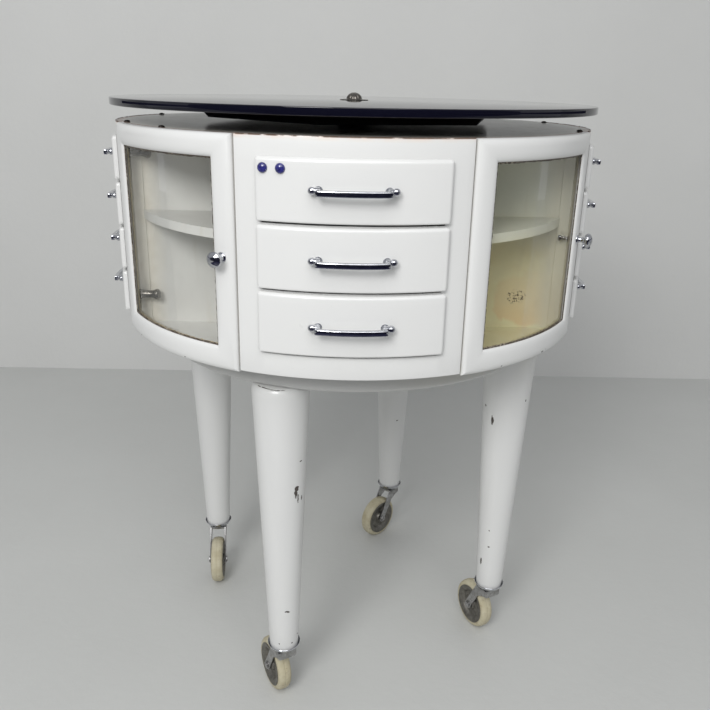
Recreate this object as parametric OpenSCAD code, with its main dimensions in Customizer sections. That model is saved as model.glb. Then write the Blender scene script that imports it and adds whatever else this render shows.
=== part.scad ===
// Round revolving instrument cabinet on four tapered legs with swivel casters.
// Millimetres, +Z up, floor at z = 0, vertical axis of the cabinet at x = y = 0, front towards -Y.
// Azimuths are measured from the front (-Y) towards +X, so the right side is at 90 degrees.

/* [Drum] */
// Radius of the drum's white skin
drum_r = 350; // [345:1:355]
// Height of the drum's lower edge above the floor
drum_z0 = 586; // [580:1:590]
// Height of the drum's upper edge above the floor
drum_z1 = 874; // [870:1:878]
// Half width of a drawer bank, to the outer faces of its side walls
bank_half = 137.4; // [134:0.2:137.6]
// Azimuth of the seam between a drawer bank and a door
seam_az = 23.5; // [23.4:0.1:23.8]
// Thickness of the inner sheet metal
sheet = 2; // [1.5:0.1:2]

/* [Drawers] */
// Heights of the front drawer faces' lower edges, top drawer first
front_z = [778, 698, 618];
// Heights of the front drawer faces, top drawer first
front_h = [73, 76, 76];
// Height of the lowest side drawer's lower edge
side_z = 600; // [597:0.5:601]
// Distance from one side drawer to the next
side_pitch = 64.5; // [63.5:0.5:65]
// Height of a side drawer's face
side_h = 60; // [57:0.5:61]
// Half angle of a drawer face, seen from the drum's axis
face_half_az = 18.7; // [18.3:0.1:19.2]
// Half width of a drawer's tray
tray_half = 106; // [100:1:107]
// Distance from the drum's axis to the back of a tray
tray_back = 150; // [146:1:160]

/* [Handles and knobs] */
// Distance between a handle's two posts
handle_centres = 80; // [76:1:84]
// Width of a handle over its two end knobs
handle_w = 104; // [98:1:108]
// Diameter of a handle's bar
bar_d = 7.4; // [6:0.1:8]
// Distance from the drum's axis to the middle of a handle's bar
bar_reach = 374.5; // [373:0.5:380]
// Bow of a handle's bar between its posts
bar_bow = 4; // [2:0.5:6]
// Height of a front handle above its drawer's lower edge
front_handle_up = 37.5; // [34:0.5:42]
// Height of a side handle above its drawer's lower edge
side_handle_up = 32; // [28:0.5:34]
// Diameter of a door knob
knob_d = 20; // [18:0.5:22]
// Height of the door knobs above the floor
knob_z = 729; // [715:1:740]

/* [Doors] */
// Outer radius of a door's frame moulding
door_r = 352.5; // [352:0.5:353.5]
// Depth of a door's frame
door_t = 10; // [9:0.5:10]
// Height of the glazed opening's lower edge
window_z0 = 614; // [610:1:618]
// Height of the glazed opening's upper edge
window_z1 = 846; // [842:1:850]
// Azimuth of the opening's two sides, measured from the seams
window_side_az = 5.1; // [4.8:0.1:5.4]
// Thickness of a door's curved pane
pane_t = 3; // [2.5:0.1:3]

/* [Shelves] */
// Height of a shelf's upper face
shelf_z = 756; // [740:1:760]
// Radius of a shelf's curved front edge
shelf_r = 325; // [315:1:326]
// Depth of the lip along the shelf's front edge
shelf_lip = 12; // [8:1:16]

/* [Base and legs] */
// Radius of the base pan under the drum
pan_r = 298; // [290:1:304]
// Height of the base pan's lower face
pan_z0 = 547; // [543:1:549]
// Radius of the circle on which the legs stand
leg_circle_r = 269; // [264:1:272]
// Azimuth of the front leg, with the others at right angles
leg_az = -20.5; // [-22:0.5:-17]
// Diameter of a leg at its shoulder
leg_top_d = 80; // [76:0.5:84]
// Diameter of a leg at its foot
leg_foot_d = 43.5; // [42:0.5:46]
// Height of a leg's foot above the floor
leg_foot_z = 106; // [105:1:108]

/* [Casters] */
// Diameter of a caster's wheel
wheel_d = 85; // [82:1:87]
// Width of a caster's tyre
tyre_w = 22; // [20:1:22]
// Distance from a caster's swivel axis to its axle
trail = 35; // [34:1:40]
// Azimuths towards which the four wheels trail: front, right, back and left leg
trail_az = [-152, -154, -44.5, 4.5];
// Diameter of a wheel's axle
axle_d = 8; // [7:0.5:9]
// Diameter of a caster's stem
stem_d = 10; // [9:0.5:11]

/* [Revolving top] */
// Radius of the black glass disc
glass_r = 356; // [353:1:358]
// Height of the glass disc's upper face, where instruments are laid out
glass_z1 = 905; // [904:1:906]
// Thickness of the glass disc
glass_t = 10; // [8:1:10]
// Corner radius of the six-sided board under the glass
board_r = 229; // [215:1:240]
// Azimuth of one corner of the board
board_az = 48; // [40:0.5:60]

/* [Hidden] */
$fn = 96;
eps = 0.5;
touch = 0.03;

// Colours
enamel = "#e9e9e6";
enamel_grey = "#b9b6ad";
chrome = "#c4c6ca";
steel = "#8b8d90";
rubber = "#d9cc9f";
black = "#15151a";
pane = [0.75, 0.82, 0.78, 0.35];

// Drum, worked out from the driving sizes
skin_t = 3;
panel_gap_az = 0.15;
panel_az = seam_az - panel_gap_az;
skin_in = drum_r - skin_t;
wall_end_r = skin_in - 0.2;
door_in = door_r - door_t;
disc_r = door_in - 0.6;
floor_t = 5;
floor_z1 = drum_z0 + 1 + floor_t;
plate_t = 3.5;
plate_z1 = drum_z1 - 0.5;
plate_z0 = plate_z1 - plate_t;
bank_sector = wall_end_r * sin(seam_az - 0.5);

// Drawers
face_gap = 0.4;
face_r0 = drum_r + face_gap;
face_r1 = drum_r + 7;
face_round = 5;
tray_wall = 1.6;
tray_drop = 14;
tray_lift = 3;
opening_az = face_half_az - 0.8;
runner_in = tray_half - 10;
runner_t = 1.6;
runner_front = drum_r * 0.9;
side_count = 4;

// Handles
post_d = 7;
end_knob_d = 9.4;
end_knob_up = 5.5;
bar_over = 2.5;
stud_d = 12;
stud_z = 838.5;
stud_az = [-16.9, -13.5];

// Doors
door_edge_az = 0.25;
door_a0 = seam_az + door_edge_az;
door_a1 = 90 - seam_az - door_edge_az;
door_z0 = drum_z0 - 2.5;
door_z1 = drum_z1 - 0.5;
moulding_round = 6;
window_a0 = seam_az + window_side_az;
window_a1 = 90 - seam_az - window_side_az;
rebate = 8;
rebate_az = 1.4;
pane_in = door_in + 2.3;
hinge_r = 348.8;
hinge_az = seam_az + 0.5;
hinge_d = 4.2;
arm_z = [640, 835];
arm_d = 9.6;
arm_x = 149.5;
arm_y0 = 304;
arm_len = 28;
screw_d = 8;
screw_t = 4;

// Base, spindle and bushes
pan_z1 = drum_z0 - 3;
pan_wall = 3;
boss_r = 46;
boss_z1 = pan_z0 + 27;
spindle_d = 30;
spindle_z1 = drum_z0 + 66;
bush_z1 = drum_z0 + 54;
jamb_r0 = 292;
running = 0.05;
ball_d = 6;
ball_count = 14;
ball_ring_r = 34;
stub_d = 16;
stub_z0 = plate_z0 - 30;

// Legs and casters
leg_wall = 2;
socket_depth = 62;
shoulder = 7;
collar_t = 2;
collar_up = 5;
fork_half = 12.5;
fork_t = 2.5;
crown_z1 = leg_foot_z - collar_t - 3;
crown_t = 5;
axle_z = wheel_d / 2;
hub_r = 30;
caster_az = [for (i = [0:3]) leg_az + 90 * i];

// Revolving top
glass_z0 = glass_z1 - glass_t;
board_z0 = glass_z0 - 16;
board_bevel = 8;
hub_top_d = 45;
stud_hole_d = 12.4;

// Direction of an azimuth, as a point on a circle of radius r
function at(az, r) = [r * sin(az), -r * cos(az)];

// Points along an arc of radius r from azimuth a0 to a1 in n steps
function arc(r, a0, a1, n) = [for (i = [0:n]) at(a0 + (a1 - a0) * i / n, r)];

// Outer radius of the door moulding at a distance e from its nearer side edge
function moulding_r(e) =
  e >= moulding_round ? door_r
  : door_r - moulding_round + sqrt(moulding_round * moulding_round - pow(moulding_round - e, 2));

// Outline of a ring sector between two azimuths
module sector(r0, r1, a0, a1) {
  polygon(concat(arc(r0, a0, a1, 24), arc(r1, a1, a0, 24)));
}

// Curved block between two radii, two azimuths and two heights, with true cylindrical faces
module curved_block(r0, r1, a0, a1, z0, z1) {
  rotate([0, 0, a0 - 90])
    rotate_extrude(angle = a1 - a0, $fn = 240)
      translate([r0, z0])
        square([r1 - r0, z1 - z0]);
}

// Copies its children to each of the four quarters
module quarters() {
  for (i = [0:3]) {
    rotate([0, 0, 90 * i])
      children();
  }
}

// Round disc that is widened at the four banks, where no door stands in front of it
module bank_disc(z, t) {
  translate([0, 0, z])
    cylinder(r = disc_r, h = t, $fn = 240);
  intersection() {
    translate([0, 0, z])
      cylinder(r = wall_end_r, h = t, $fn = 240);
    union() {
      for (turn = [0, 90]) {
        rotate([0, 0, turn])
          translate([-bank_sector, -drum_r, z])
            cube([2 * bank_sector, 2 * drum_r, t]);
      }
    }
  }
}

// ---------- Base ----------

module base_pan() {
  color(enamel)
    difference() {
      translate([0, 0, pan_z0])
        cylinder(r = pan_r, h = pan_z1 - pan_z0, $fn = 240);
      difference() {
        translate([0, 0, pan_z0 + pan_wall])
          cylinder(r = pan_r - pan_wall, h = pan_z1 - pan_z0, $fn = 240);
        translate([0, 0, pan_z0])
          cylinder(r = boss_r, h = boss_z1 - pan_z0);
      }
      translate([0, 0, pan_z0 + pan_wall])
        cylinder(d = spindle_d + 2 * running, h = pan_z1);
    }
}

module leg() {
  r_foot = leg_foot_d / 2;
  r_top = leg_top_d / 2;
  z_sh = pan_z0 - shoulder * 2;
  plug = leg_foot_z + socket_depth + 4;
  round_pts = [for (i = [0:6])
    [r_top - shoulder + shoulder * cos(15 * i), z_sh + 2 * shoulder * sin(15 * i)]];
  difference() {
    rotate_extrude()
      polygon(concat([[0, leg_foot_z], [r_foot, leg_foot_z]], round_pts, [[0, pan_z0]]));
    rotate_extrude()
      polygon([
        [0, plug],
        [r_foot + 3 - leg_wall, plug],
        [r_top - leg_wall, z_sh],
        [r_top - shoulder - leg_wall, pan_z0 - 4],
        [0, pan_z0 - 4]
      ]);
    translate([0, 0, leg_foot_z - eps])
      cylinder(d = stem_d + 2 * running, h = socket_depth + eps);
  }
}

module legs() {
  color(enamel)
    for (az = caster_az) {
      translate(concat(at(az, leg_circle_r), [0]))
        leg();
    }
}

module leg_collars() {
  r_foot = leg_foot_d / 2;
  color(chrome)
    for (az = caster_az) {
      translate(concat(at(az, leg_circle_r), [0]))
        rotate_extrude()
          polygon([
            [stem_d / 2 + 1, leg_foot_z - collar_t],
            [r_foot - 2, leg_foot_z - collar_t],
            [r_foot + 2, leg_foot_z + 1],
            [r_foot + 3, leg_foot_z + collar_up],
            [r_foot + 0.8, leg_foot_z + collar_up],
            [r_foot + 0.3, leg_foot_z],
            [stem_d / 2 + 1, leg_foot_z]
          ]);
    }
}

module spindle() {
  color(steel) {
    translate([0, 0, pan_z0 + pan_wall])
      cylinder(d = spindle_d, h = spindle_z1 - pan_z0 - pan_wall);
    translate([0, 0, bush_z1 + 1])
      cylinder(r = spindle_d / 2 + 8, h = 9, $fn = 6);
    difference() {
      translate([0, 0, boss_z1])
        cylinder(r = ball_ring_r + 9, h = 3);
      translate([0, 0, boss_z1 - eps])
        cylinder(r = ball_ring_r - 10, h = 5);
    }
    for (i = [0:ball_count - 1]) {
      rotate([0, 0, 360 * i / ball_count])
        translate([ball_ring_r, 0, boss_z1 + 3.05 + ball_d / 2])
          sphere(d = ball_d, $fn = 32);
    }
  }
}

// ---------- Casters ----------

// Places its children at a leg, turned so that -Y points where the wheel trails
module at_caster(i) {
  translate(concat(at(caster_az[i], leg_circle_r), [0]))
    rotate([0, 0, trail_az[i]])
      children();
}

module caster_fork(i) {
  arm_r = 8;
  crown_z0 = crown_z1 - crown_t;
  arm_pts = concat(
    [[11, crown_z1], [-14, crown_z1]],
    [for (k = [0:8]) [-trail - arm_r * cos(15 - k * 24), axle_z + arm_r * sin(15 - k * 24)]]
  );
  color(steel)
    at_caster(i) {
      translate([0, 0, crown_z0])
        cylinder(d = stem_d, h = leg_foot_z + socket_depth - 4 - crown_z0);
      translate([0, 0, crown_z0])
        cylinder(r = 14, h = crown_t + 2);
      translate([-fork_half - fork_t, -14, crown_z0])
        cube([2 * (fork_half + fork_t), 25, crown_t]);
      for (s = [-fork_half - fork_t, fork_half]) {
        translate([s, 0, 0])
          rotate([90, 0, 90])
            linear_extrude(fork_t)
              polygon(arm_pts);
      }
      translate([-fork_half - fork_t - 4, -trail, axle_z])
        rotate([0, 90, 0])
          cylinder(d = axle_d, h = 2 * (fork_half + fork_t + 4));
      for (s = [-fork_half - fork_t - 4, fork_half + fork_t]) {
        translate([s, -trail, axle_z])
          rotate([0, 90, 0])
            cylinder(r = 6.5, h = 4, $fn = 6);
      }
    }
}

module wheel_hub(i) {
  color(steel)
    at_caster(i)
      translate([0, -trail, axle_z])
        rotate([0, 90, 0])
          difference() {
            rotate_extrude()
              polygon([
                [0, -11.5], [10, -11.5], [12, -6], [22, -5], [hub_r - 2, -9.5], [hub_r, -9.5],
                [hub_r, 9.5], [hub_r - 2, 9.5], [22, 5], [12, 6], [10, 11.5], [0, 11.5]
              ]);
            translate([0, 0, -12])
              cylinder(d = axle_d + 2 * running, h = 24);
          }
}

module tyre(i) {
  half = tyre_w / 2;
  crown = [for (k = [0:8])
    [wheel_d / 2 - 5 + 5 * cos(-80 + 20 * k), (half - 5) * (k < 4 ? -1 : k > 4 ? 1 : 0)
            + 5 * sin(-80 + 20 * k)]];
  color(rubber)
    at_caster(i)
      translate([0, -trail, axle_z])
        rotate([0, 90, 0])
          rotate_extrude()
            polygon(concat([[hub_r + 0.1, half - 1], [hub_r + 0.1, 1 - half], [hub_r + 4, -half]],
              crown, [[hub_r + 4, half]]));
}

// ---------- Drum ----------

module drum_floor() {
  color(enamel)
    difference() {
      union() {
        bank_disc(drum_z0 + 1, floor_t);
        translate([0, 0, drum_z0 + 1])
          cylinder(d = spindle_d + 14, h = bush_z1 - drum_z0 - 1);
      }
      translate([0, 0, drum_z0])
        cylinder(d = spindle_d + 2 * running, h = bush_z1);
    }
}

module drum_top() {
  color(enamel_grey)
    difference() {
      union() {
        bank_disc(plate_z0, plate_t);
        translate([0, 0, stub_z0 + 4])
          cylinder(d = stub_d + 12, h = plate_z0 - stub_z0 - 3);
      }
      translate([0, 0, stub_z0])
        cylinder(d = stub_d + 2 * running, h = 60);
    }
}

// One sheet bent at a right angle, closing a compartment's two inner sides
module corner_sheet() {
  intersection() {
    translate([0, 0, floor_z1])
      cylinder(r = wall_end_r, h = plate_z0 - floor_z1, $fn = 240);
    union() {
      translate([bank_half - sheet, -drum_r, floor_z1])
        cube([sheet, drum_r - bank_half + sheet, plate_z0 - floor_z1]);
      translate([bank_half - sheet, -bank_half, floor_z1])
        cube([drum_r - bank_half + sheet, sheet, plate_z0 - floor_z1]);
    }
  }
}

// Two narrow strips along the ends of a corner sheet, against which the door's frame closes
module jambs() {
  intersection() {
    translate([0, 0, floor_z1])
      cylinder(r = disc_r - 0.4, h = plate_z0 - floor_z1, $fn = 240);
    union() {
      translate([bank_half - sheet / 2, -drum_r, floor_z1])
        cube([1.5 * sheet, drum_r - jamb_r0, plate_z0 - floor_z1]);
      translate([jamb_r0, -bank_half - sheet, floor_z1])
        cube([drum_r - jamb_r0, 1.5 * sheet, plate_z0 - floor_z1]);
    }
  }
}

// The two runners that carry a front drawer whose face starts at z
module runners(z) {
  for (x = [-bank_half + sheet / 2, runner_in]) {
    translate([x, -runner_front, z + tray_lift - 0.3 - runner_t])
      cube([bank_half - sheet / 2 - runner_in, runner_front - tray_back, runner_t]);
  }
}

module compartment_walls() {
  color(enamel)
    union() {
      quarters() {
        corner_sheet();
        jambs();
      }
      for (z = front_z) {
        runners(z);
      }
      for (turn = [90, -90], i = [0:side_count - 1]) {
        rotate([0, 0, turn])
          runners(side_z + i * side_pitch);
      }
    }
}

// Hole in a bank's panel through which a tray passes
module tray_hole(z, h) {
  curved_block(skin_in - 5, drum_r + 5, -opening_az, opening_az, z + tray_lift - 1, z + h - tray_drop + 5);
}

module bank_panel() {
  curved_block(skin_in, drum_r, -panel_az, panel_az, drum_z0, drum_z1);
}

module bank_panels() {
  color(enamel) {
    difference() {
      bank_panel();
      for (i = [0:2]) {
        tray_hole(front_z[i], front_h[i]);
      }
    }
    for (turn = [90, -90]) {
      rotate([0, 0, turn])
        difference() {
          bank_panel();
          for (i = [0:side_count - 1]) {
            tray_hole(side_z + i * side_pitch, side_h);
          }
        }
    }
    rotate([0, 0, 180])
      bank_panel();
  }
}

module shelves() {
  inner = bank_half + sheet + 0.3;
  color(enamel)
    quarters()
      intersection() {
        difference() {
          translate([0, 0, shelf_z - shelf_lip])
            cylinder(r = shelf_r, h = shelf_lip, $fn = 240);
          translate([0, 0, shelf_z - shelf_lip - eps])
            cylinder(r = shelf_r - sheet, h = shelf_lip - sheet + eps, $fn = 240);
        }
        translate([inner, -drum_r, 0])
          cube([drum_r, drum_r - inner, drum_z1]);
      }
}

module top_screws() {
  color(black)
    for (az = [-109, -66.5, -45, 66.5, 109, 157, 203]) {
      translate(concat(at(az, disc_r - 5), [plate_z1]))
        intersection() {
          translate([0, 0, -3])
            sphere(r = 5.6, $fn = 48);
          cylinder(r = 4.2, h = 3);
        }
    }
}

// ---------- Doors ----------

// Outline of a door's frame in plan, with rounded outer corners
module door_plan() {
  mm_az = 180 / (PI * door_r);
  offsets = [0, 0.4, 1, 2, 3, 4, 5, 6];
  near = [for (e = offsets) at(door_a0 + e * mm_az, moulding_r(e))];
  far = [for (i = [0:7]) at(door_a1 - offsets[7 - i] * mm_az, moulding_r(offsets[7 - i]))];
  middle = arc(door_r, door_a0 + 7 * mm_az, door_a1 - 7 * mm_az, 48);
  polygon(concat(arc(door_in, door_a1, door_a0, 48), near, middle, far));
}

// A door's curved frame, with the round hinge barrel along its edge at the seam
module door_frame() {
  difference() {
    union() {
      translate([0, 0, door_z0])
        linear_extrude(door_z1 - door_z0)
          door_plan();
      translate(concat(at(hinge_az, hinge_r), [door_z0]))
        cylinder(d = hinge_d, h = door_z1 - door_z0, $fn = 48);
    }
    curved_block(door_in - 5, door_r + 5, window_a0, window_a1, window_z0, window_z1);
    curved_block(door_in - 5, pane_in + pane_t + 0.3, window_a0 - rebate_az, window_a1 + rebate_az,
      window_z0 - rebate, window_z1 + rebate);
  }
}

module door_glass() {
  curved_block(pane_in, pane_in + pane_t, window_a0 - rebate_az + 0.1, window_a1 + rebate_az - 0.1,
    window_z0 - rebate + 0.5, window_z1 + rebate - 0.5);
}

module knob() {
  rotate([90, 0, 0])
    rotate_extrude()
      polygon(concat(
        [[0, 0], [6.5, 0], [6.5, 1.5], [4, 3], [3.4, 8], [5, 10.5]],
        [for (k = [0:8]) [knob_d / 2 - 3 + 3 * cos(-60 + 18.75 * k), 16 + 4.5 * sin(-60 + 18.75 * k)]],
        [[4, 21.6], [0, 22]]
      ));
}

module door_fittings() {
  knob_az = 90 - seam_az - 3;
  translate(concat(at(knob_az, door_r + touch), [knob_z]))
    rotate([0, 0, knob_az])
      knob();
  translate(concat(at(knob_az, door_in - screw_t - touch), [knob_z]))
    rotate([90, 0, knob_az])
      cylinder(d = screw_d, h = screw_t - touch);
  for (z = arm_z) {
    translate([arm_x, -arm_y0, z])
      rotate([-90, 0, 0])
        cylinder(d = arm_d, h = arm_len);
  }
}

// ---------- Drawers ----------

// Side profile of a drawer's face, with rounded outer edges
module face_profile(z, h) {
  low = [for (k = [0:6]) [face_r1 - face_round + face_round * cos(-90 + 15 * k),
          z + face_round + face_round * sin(-90 + 15 * k)]];
  high = [for (k = [0:6]) [face_r1 - face_round + face_round * cos(15 * k),
          z + h - face_round + face_round * sin(15 * k)]];
  polygon(concat([[face_r0, z + h], [face_r0, z]], low, high));
}

// One drawer of the front bank: a tray with a curved face
module drawer(z, h) {
  tray_z = z + tray_lift;
  tray_h = h - tray_drop;
  color(enamel)
    union() {
      rotate([0, 0, -face_half_az - 90])
        rotate_extrude(angle = 2 * face_half_az, $fn = 240)
          face_profile(z, h);
      intersection() {
        translate([0, 0, z])
          cylinder(r = face_r0 + 1, h = h, $fn = 240);
        difference() {
          translate([-tray_half, -drum_r - 5, tray_z])
            cube([2 * tray_half, drum_r + 5 - tray_back, tray_h]);
          translate([-tray_half + tray_wall, -drum_r - 6, tray_z + tray_wall])
            cube([2 * (tray_half - tray_wall), drum_r + 6 - tray_back - tray_wall, tray_h]);
        }
      }
    }
}

// Chrome bow handle of a front drawer, at height z: a bowed bar, two posts and two end knobs
module handle(z) {
  post_x = handle_centres / 2;
  bow_r = (post_x * post_x + bar_bow * bar_bow) / (2 * bar_bow);
  bow_az = asin((post_x + bar_over) / bow_r);
  knob_y = -sqrt(face_r1 * face_r1 - post_x * post_x) - end_knob_up;
  knob_x = (handle_w - end_knob_d) / 2;
  color(chrome)
    translate([0, 0, z])
      difference() {
        union() {
          translate([0, bow_r - bar_reach, 0])
            rotate([0, 0, -90 - bow_az])
              rotate_extrude(angle = 2 * bow_az, $fn = 240)
                translate([bow_r, 0])
                  circle(d = bar_d, $fn = 48);
          for (x = [-post_x, post_x]) {
            translate([x, bar_bow - bar_reach, 0])
              rotate([-90, 0, 0])
                cylinder(d = post_d, h = bar_reach - drum_r, $fn = 48);
          }
          for (side = [0, 180]) {
            rotate([0, side, 0])
              translate([post_x, knob_y, 0])
                rotate([0, 90, 0])
                  cylinder(d = end_knob_d - 1, h = knob_x - post_x, $fn = 48);
          }
          translate([-knob_x, knob_y, 0])
            sphere(d = end_knob_d, $fn = 48);
          translate([knob_x, knob_y, 0])
            sphere(d = end_knob_d, $fn = 48);
        }
        translate([0, 0, -post_d])
          cylinder(r = face_r1 + touch, h = 2 * post_d, $fn = 240);
      }
}

// Side drawers are numbered from the top, like the front ones
function side_drawer_z(i) = side_z + (side_count - i) * side_pitch;

module side_drawer(turn, i) {
  rotate([0, 0, turn])
    drawer(side_drawer_z(i), side_h);
}

module side_handle(turn, i) {
  rotate([0, 0, turn])
    handle(side_drawer_z(i) + side_handle_up);
}

module front_drawer(i) {
  drawer(front_z[i - 1], front_h[i - 1]);
}

module front_handle(i) {
  handle(front_z[i - 1] + front_handle_up);
}

module blue_studs() {
  color("#2a2a6a")
    for (az = stud_az) {
      translate(concat(at(az, face_r1 + touch), [stud_z]))
        rotate([90, 0, az])
          intersection() {
            translate([0, 0, -3])
              sphere(r = 7, $fn = 48);
            cylinder(d = stud_d, h = 5);
          }
    }
}

// ---------- Revolving top ----------

module glass_top() {
  color(black)
    rotate_extrude($fn = 240)
      polygon([
        [stud_hole_d / 2, glass_z0], [glass_r - 1.5, glass_z0], [glass_r, glass_z0 + 1.5],
        [glass_r, glass_z1 - 1.5], [glass_r - 1.5, glass_z1], [stud_hole_d / 2, glass_z1]
      ]);
}

module top_board() {
  color(black)
    union() {
      rotate([0, 0, board_az - 90]) {
        translate([0, 0, board_z0 + board_bevel])
          cylinder(r = board_r, h = glass_z0 - board_z0 - board_bevel - touch, $fn = 6);
        translate([0, 0, board_z0])
          cylinder(r1 = board_r - board_bevel, r2 = board_r, h = board_bevel, $fn = 6);
      }
      translate([0, 0, plate_z1 + 0.5])
        cylinder(d = hub_top_d, h = board_z0 - plate_z1 + 2);
      translate([0, 0, stub_z0])
        cylinder(d = stub_d, h = plate_z1 - stub_z0 + 2);
    }
}

module cap_rosette() {
  color(chrome)
    union() {
      translate([0, 0, glass_z1])
        cylinder(r = 21.5, h = 1.5);
      intersection() {
        translate([0, 0, glass_z1 - 1])
          sphere(r = 12, $fn = 64);
        translate([0, 0, glass_z1])
          cylinder(r = 12, h = 12);
      }
      translate([0, 0, glass_z0])
        cylinder(d = stud_hole_d - 0.4, h = glass_t);
    }
}

base_pan();
legs();
leg_collars();
spindle();
caster_fork(0);  // front_caster_fork
caster_fork(1);  // right_caster_fork
caster_fork(2);  // back_caster_fork
caster_fork(3);  // left_caster_fork
wheel_hub(0);  // front_wheel_hub
wheel_hub(1);  // right_wheel_hub
wheel_hub(2);  // back_wheel_hub
wheel_hub(3);  // left_wheel_hub
tyre(0);  // front_tyre
tyre(1);  // right_tyre
tyre(2);  // back_tyre
tyre(3);  // left_tyre
drum_floor();
drum_top();
compartment_walls();
bank_panels();
shelves();
top_screws();
color(enamel) door_frame();  // right_front_door_frame
rotate([0, 0, 90]) color(enamel) door_frame();  // right_rear_door_frame
rotate([0, 0, 180]) color(enamel) door_frame();  // left_rear_door_frame
rotate([0, 0, -90]) color(enamel) door_frame();  // left_front_door_frame
color(pane) door_glass();  // right_front_door_glass
rotate([0, 0, 90]) color(pane) door_glass();  // right_rear_door_glass
rotate([0, 0, 180]) color(pane) door_glass();  // left_rear_door_glass
rotate([0, 0, -90]) color(pane) door_glass();  // left_front_door_glass
color(chrome) door_fittings();  // right_front_door_fittings
rotate([0, 0, 90]) color(chrome) door_fittings();  // right_rear_door_fittings
rotate([0, 0, 180]) color(chrome) door_fittings();  // left_rear_door_fittings
rotate([0, 0, -90]) color(chrome) door_fittings();  // left_front_door_fittings
front_drawer(1);  // front_drawer_1
front_drawer(2);  // front_drawer_2
front_drawer(3);  // front_drawer_3
side_drawer(90, 1);  // right_drawer_1
side_drawer(90, 2);  // right_drawer_2
side_drawer(90, 3);  // right_drawer_3
side_drawer(90, 4);  // right_drawer_4
side_drawer(-90, 1);  // left_drawer_1
side_drawer(-90, 2);  // left_drawer_2
side_drawer(-90, 3);  // left_drawer_3
side_drawer(-90, 4);  // left_drawer_4
front_handle(1);  // front_handle_1
front_handle(2);  // front_handle_2
front_handle(3);  // front_handle_3
side_handle(90, 1);  // right_handle_1
side_handle(90, 2);  // right_handle_2
side_handle(90, 3);  // right_handle_3
side_handle(90, 4);  // right_handle_4
side_handle(-90, 1);  // left_handle_1
side_handle(-90, 2);  // left_handle_2
side_handle(-90, 3);  // left_handle_3
side_handle(-90, 4);  // left_handle_4
blue_studs();
glass_top();
top_board();
cap_rosette();
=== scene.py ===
"""Round revolving instrument cabinet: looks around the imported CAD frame. Metres, +Z up, front towards -Y."""
import math
import random

import bmesh
import bpy
from mathutils import Matrix, Vector


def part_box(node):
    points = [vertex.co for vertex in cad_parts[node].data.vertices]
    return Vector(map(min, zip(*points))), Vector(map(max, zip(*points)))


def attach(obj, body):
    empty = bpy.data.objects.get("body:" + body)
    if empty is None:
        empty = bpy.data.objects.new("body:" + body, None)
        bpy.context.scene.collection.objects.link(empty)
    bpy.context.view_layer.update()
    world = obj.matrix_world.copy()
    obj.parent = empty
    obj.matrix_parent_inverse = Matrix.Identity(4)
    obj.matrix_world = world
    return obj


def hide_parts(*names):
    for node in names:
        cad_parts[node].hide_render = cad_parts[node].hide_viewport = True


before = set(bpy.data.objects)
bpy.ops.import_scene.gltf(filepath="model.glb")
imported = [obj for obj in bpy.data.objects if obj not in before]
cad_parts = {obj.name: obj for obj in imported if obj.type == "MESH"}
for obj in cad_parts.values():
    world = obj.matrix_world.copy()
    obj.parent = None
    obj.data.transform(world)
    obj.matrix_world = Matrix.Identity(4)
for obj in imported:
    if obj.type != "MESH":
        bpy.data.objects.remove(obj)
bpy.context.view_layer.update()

MM = 0.001
rnd = random.Random(7)


def rad(a):
    """Degrees to radians."""
    return math.radians(a)


def at(az, r, z=0.0):
    """Point at an azimuth in degrees (0 is the front, 90 the right side), a radius and a height."""
    return Vector((r * math.sin(rad(az)), -r * math.cos(rad(az)), z))


def turned(deg):
    return Matrix.Rotation(rad(deg), 4, "Z")


def facing(az, r, z):
    """Frame on the drum at an azimuth, with its Z pointing outwards and its Y up."""
    return Matrix.Translation(at(az, r, z)) @ turned(az) @ Matrix.Rotation(rad(90), 4, "X")


def mm(*points, up=0.0):
    """Profile points in millimetres, raised by up metres."""
    return [(r * MM, z * MM + up) for r, z in points]


# ---------- Camera ----------

CAM_AT = Vector((-6.947, -1218.796, 931.18)) * MM
CAM_PITCH, CAM_YAW, CAM_ROLL = 0.34415, -0.01375, 0.02216
CAM_LENS, SENSOR = 38.65, 36.0

cam = bpy.data.objects.new("camera", bpy.data.cameras.new("camera"))
bpy.context.scene.collection.objects.link(cam)
cam.data.lens, cam.data.sensor_width = CAM_LENS, SENSOR
cam.data.clip_start, cam.data.clip_end = 0.05, 30
yaw = Matrix.Rotation(CAM_YAW, 3, "Z")
forward = yaw @ Vector((0, math.cos(CAM_PITCH), -math.sin(CAM_PITCH)))
right = yaw @ Vector((1, 0, 0))
up = yaw @ Vector((0, math.sin(CAM_PITCH), math.cos(CAM_PITCH)))
roll_c, roll_s = math.cos(CAM_ROLL), math.sin(CAM_ROLL)
cam_x, cam_y = roll_c * right + roll_s * up, -roll_s * right + roll_c * up
cam.matrix_world = Matrix.Translation(CAM_AT) @ Matrix((cam_x, cam_y, -forward)).transposed().to_4x4()
bpy.context.scene.camera = cam
bpy.context.scene.view_settings.view_transform = "Standard"

# ---------- Mesh helpers ----------


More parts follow.
